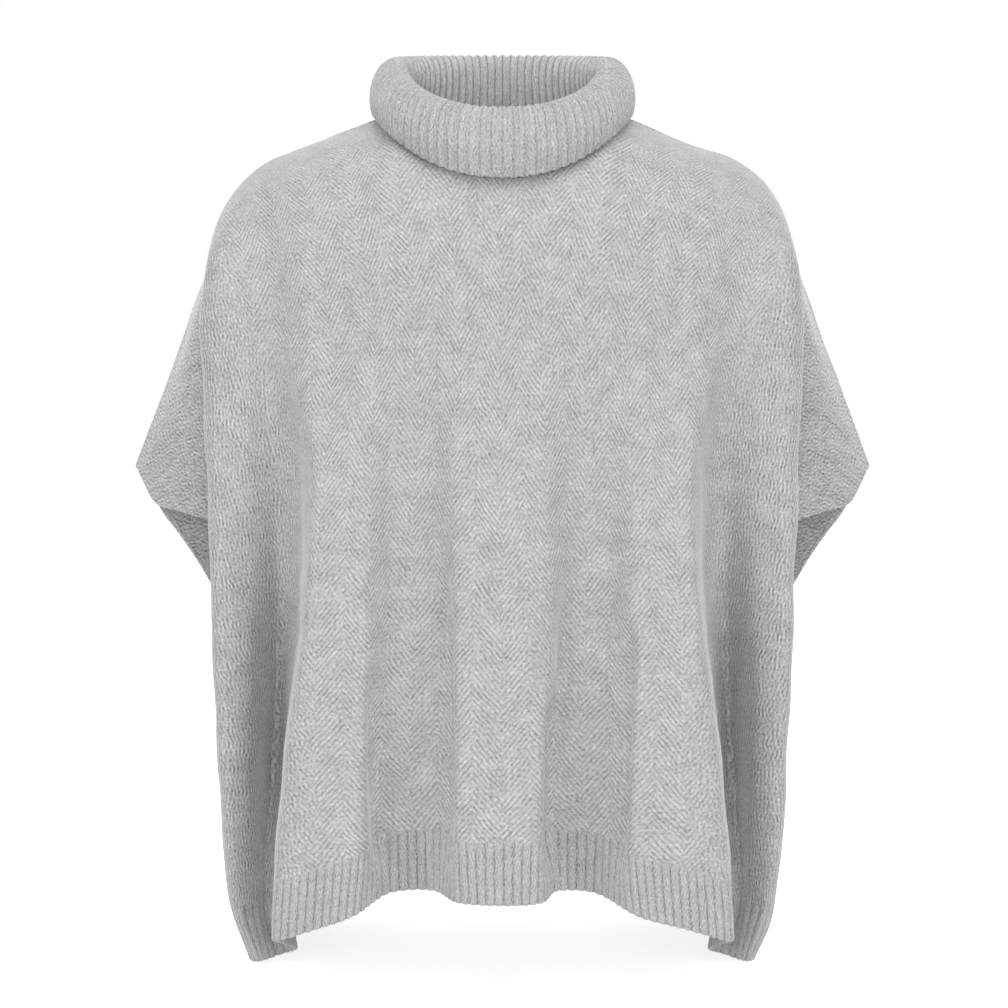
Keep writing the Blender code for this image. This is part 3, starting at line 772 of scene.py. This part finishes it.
def herringboneKnit(yarnTree, crepeTree, patternTree):
    material, tree, shader, cloth, space = newMaterial("herringbone knit")
    pattern = addNode(tree, "Group", {"Map": cloth}, node_tree=patternTree)
    marl = addNode(tree, "Group", {"Place": cloth}, node_tree=yarnTree)
    parts = addNode(tree, "SeparateXYZ", {0: space})
    outward = calc(tree, "ABSOLUTE", parts.outputs[0])
    # the strokes stand upright on the body, and lie across and wander more on the sleeves
    crepe = addNode(tree, "Group", {}, node_tree=crepeTree)
    sleeve = calc(tree, "GREATER_THAN", outward, sides["sleeveStart"])
    flat = addNode(tree, "CombineXYZ", {0: outward, 1: parts.outputs[2]}).outputs[0]
    place = addNode(tree, "Mix", {0: sleeve, 4: cloth, 5: flat}, data_type="VECTOR").outputs[1]
    tree.links.new(place, crepe.inputs["Map"])
    tree.links.new(calc(tree, "MULTIPLY", sleeve, sides["sleeveTurn"]), crepe.inputs["Turn"])
    inputs = {0: sleeve, 2: sides["straight"], 3: sides["sleeveStraight"]}
    tree.links.new(addNode(tree, "Mix", inputs).outputs[0], crepe.inputs["Straightness"])
    # the zigzags turn to crepe towards the sides, farther out at the shoulders than below
    above = calc(tree, "MAXIMUM", calc(tree, "SUBTRACT", parts.outputs[2], sides["zigzagTop"]), 0.0)
    side = calc(tree, "MULTIPLY_ADD", above, -sides["zigzagSpread"], outward)
    inputs = {0: side, 1: sides["zigzagEnd"], 2: sides["crepeStart"], 3: sides["least"], 4: sides["most"]}
    side = addNode(tree, "MapRange", inputs).outputs[0]
    ridge = addNode(tree, "Mix", {0: side, 2: pattern.outputs["Ridge"], 3: crepe.outputs["Ridge"]}).outputs[0]
    # the pattern's ridges and strokes paint light on their tops and shade between them; the marl adds the
    # yarn's own flecks
    amount = calc(tree, "MULTIPLY_ADD", ridge, yarn["line"], 0.5)
    amount = calc(tree, "MULTIPLY_ADD", marl.outputs["Shade"], yarn["marl"], amount)
    height = calc(tree, "MULTIPLY_ADD", marl.outputs["Fibre"], 1.0, ridge)
    dress(tree, shader, amount, height, yarn["bump"])
    return material


def ribKnit(yarnTree, crepeTree):
    material, tree, shader, cloth, space = newMaterial("rib knit")
    marl = addNode(tree, "Group", {"Place": cloth}, node_tree=yarnTree)
    inputs = {"Map": cloth, "Spacing": ribs["strand"], "Straightness": ribs["strandStraight"]}
    strand = addNode(tree, "Group", inputs, node_tree=crepeTree)
    parts = addNode(tree, "SeparateXYZ", {0: cloth})
    wale = calc(tree, "DIVIDE", parts.outputs[0], ribs["pitch"])
    # a mask of the furrows, where shade is painted
    crown = calc(tree, "ABSOLUTE", calc(tree, "COSINE", calc(tree, "MULTIPLY", wale, pi)))
    furrow = calc(tree, "POWER", calc(tree, "SUBTRACT", 1.0, crown), ribShade["narrow"])
    # inside the collar, far from its free edge: painted light on the crowns and darker painted shade in the
    # furrows
    inputs = {0: parts.outputs[1], 1: ribShade["insideStart"], 2: ribShade["insideEnd"]}
    inside = addNode(tree, "MapRange", inputs).outputs[0]
    paintedFurrowShade = calc(tree, "MULTIPLY_ADD", inside, ribShade["insidePaintedFurrowShade"], ribShade["furrow"])
    crownToneAndPaintedLight = calc(tree, "MULTIPLY_ADD", inside, ribShade["insidePaintedCrownLight"], ribShade["crown"])
    # the furrows get painted shade, darker than the crowns
    amount = calc(tree, "MULTIPLY_ADD", furrow, paintedFurrowShade, crownToneAndPaintedLight)
    amount = calc(tree, "MULTIPLY_ADD", strand.outputs["Ridge"], ribShade["line"] * yarn["line"], amount)
    amount = calc(tree, "MULTIPLY_ADD", marl.outputs["Shade"], ribShade["marl"] * yarn["marl"], amount)
    height = calc(tree, "MULTIPLY_ADD", marl.outputs["Fibre"], 1.0, strand.outputs["Ridge"])
    dress(tree, shader, amount, height, yarn["ribBump"])
    return material


yarnTree = yarnGroup()
crepeTree = crepeGroup()
knitMaterial = herringboneKnit(yarnTree, crepeTree, herringboneGroup())
ribMaterial = ribKnit(yarnTree, crepeTree)
print("materials made")

frontSheet, frontRib = buildPanel("frontPanelKnit", "frontHemRibKnit", frontPanel, frontCreases, 11)
backSheet, backRib = buildPanel("backPanelKnit", "backHemRibKnit", backPanel, backCreases, 23)
collarSheet = buildCollar("collarRibKnit")

# each piece stands for one CAD solid, with the size it was cut to
pieces = [
    (frontSheet, "front_panel", "herringbone_knit", "draped", (0.98, 0.66), 0.53),
    (backSheet, "back_panel", "herringbone_knit", "draped", (0.90, 0.66), 0.45),
    (frontRib, "front_hem_rib", "rib_knit", "hung", (1.08, 0.053), None),
    (backRib, "back_hem_rib", "rib_knit", "hung", (0.82, 0.053), None),
    (collarSheet, "collar", "rib_knit", "folded", (0.60, 0.135), None),
]
for piece, node, slotName, held, flat, area in pieces:
    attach(piece, "root")
    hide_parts(node)
print("pieces placed")

stage = {
    "floorZ": -0.7125,
    "floorRadius": 2.2,
    "floorColour": (0.88, 0.88, 0.88),
    "floorGlow": 0.70,  # the table is lit from below
    "floorFill": 0.08,  # how much of that glow reaches the cloth
    "surroundings": 0.30,
    # each light's name, place, size and power
    "lights": [
        ("side right", (-2.2, -2.2, 0.1), 1.6, 24.5),
        ("side left", (2.2, -2.2, 0.1), 1.6, 24.5),
        ("front fill", (0, -3.0, 0.45), 1.0, 18.0),
        ("top", (0, -0.6, 2.4), 1.5, 44.0),
        ("back right", (-2.6, 2.6, 1.0), 2.0, 42.0),
        ("back left", (2.6, 2.6, 1.0), 2.0, 42.0),
    ],
    "aim": (0.001275, 0, -0.325),  # what the camera and the lights point at
    "cameraRise": radians(9.5),  # how far above level the camera looks from
    "cameraDistance": 2.6,
    "viewWidth": 0.8568,  # width of the view at the aim
    "sensor": 36,
}

place = (0, 0, stage["floorZ"])
bpy.ops.mesh.primitive_circle_add(vertices=96, radius=stage["floorRadius"], fill_type="NGON", location=place)
floor = bpy.context.active_object
floor.name = "floor"
bpy.ops.object.transform_apply(location=True)
floorMaterial = bpy.data.materials.new("pale floor")
floorMaterial.use_nodes = True
floorShader = floorMaterial.node_tree.nodes["Principled BSDF"]
floorShader.inputs["Base Color"].default_value = (*stage["floorColour"], 1)
floorShader.inputs["Roughness"].default_value = 0.9
floorShader.inputs["Specular IOR Level"].default_value = 0.1
floorShader.inputs["Emission Color"].default_value = (1, 1, 1, 1)
seen = addNode(floorMaterial.node_tree, "LightPath").outputs["Is Camera Ray"]
inputs = {0: seen, 3: stage["floorFill"], 4: stage["floorGlow"]}
glow = addNode(floorMaterial.node_tree, "MapRange", inputs).outputs[0]
floorMaterial.node_tree.links.new(glow, floorShader.inputs["Emission Strength"])
floor.data.materials.append(floorMaterial)

world = bpy.data.worlds.new("studio")
bpy.context.scene.world = world
world.use_nodes = True
background = world.node_tree.nodes["Background"]
background.inputs["Color"].default_value = (1, 1, 1, 1)
# the backdrop is white to look at, but gives only soft light
seen = addNode(world.node_tree, "LightPath").outputs["Is Camera Ray"]
level = addNode(world.node_tree, "MapRange", {0: seen, 3: stage["surroundings"], 4: 1.0}).outputs[0]
world.node_tree.links.new(level, background.inputs["Strength"])

target = Vector(stage["aim"])
for name, place, size, power in stage["lights"]:
    bpy.ops.object.light_add(type="AREA", location=place)
    light = bpy.context.active_object
    light.name = name
    light.data.size = size
    light.data.energy = power
    light.rotation_euler = (target - Vector(place)).to_track_quat("-Z", "Y").to_euler()

viewFrom = Vector((0, -cos(stage["cameraRise"]), sin(stage["cameraRise"])))
bpy.ops.object.camera_add(location=target + stage["cameraDistance"] * viewFrom)
camera = bpy.context.active_object
camera.rotation_euler = (target - camera.location).to_track_quat("-Z", "Y").to_euler()
camera.data.sensor_width = stage["sensor"]
camera.data.lens = stage["sensor"] * stage["cameraDistance"] / stage["viewWidth"]
bpy.context.scene.camera = camera
bpy.context.scene.view_settings.view_transform = "Standard"
print("stage and camera set")
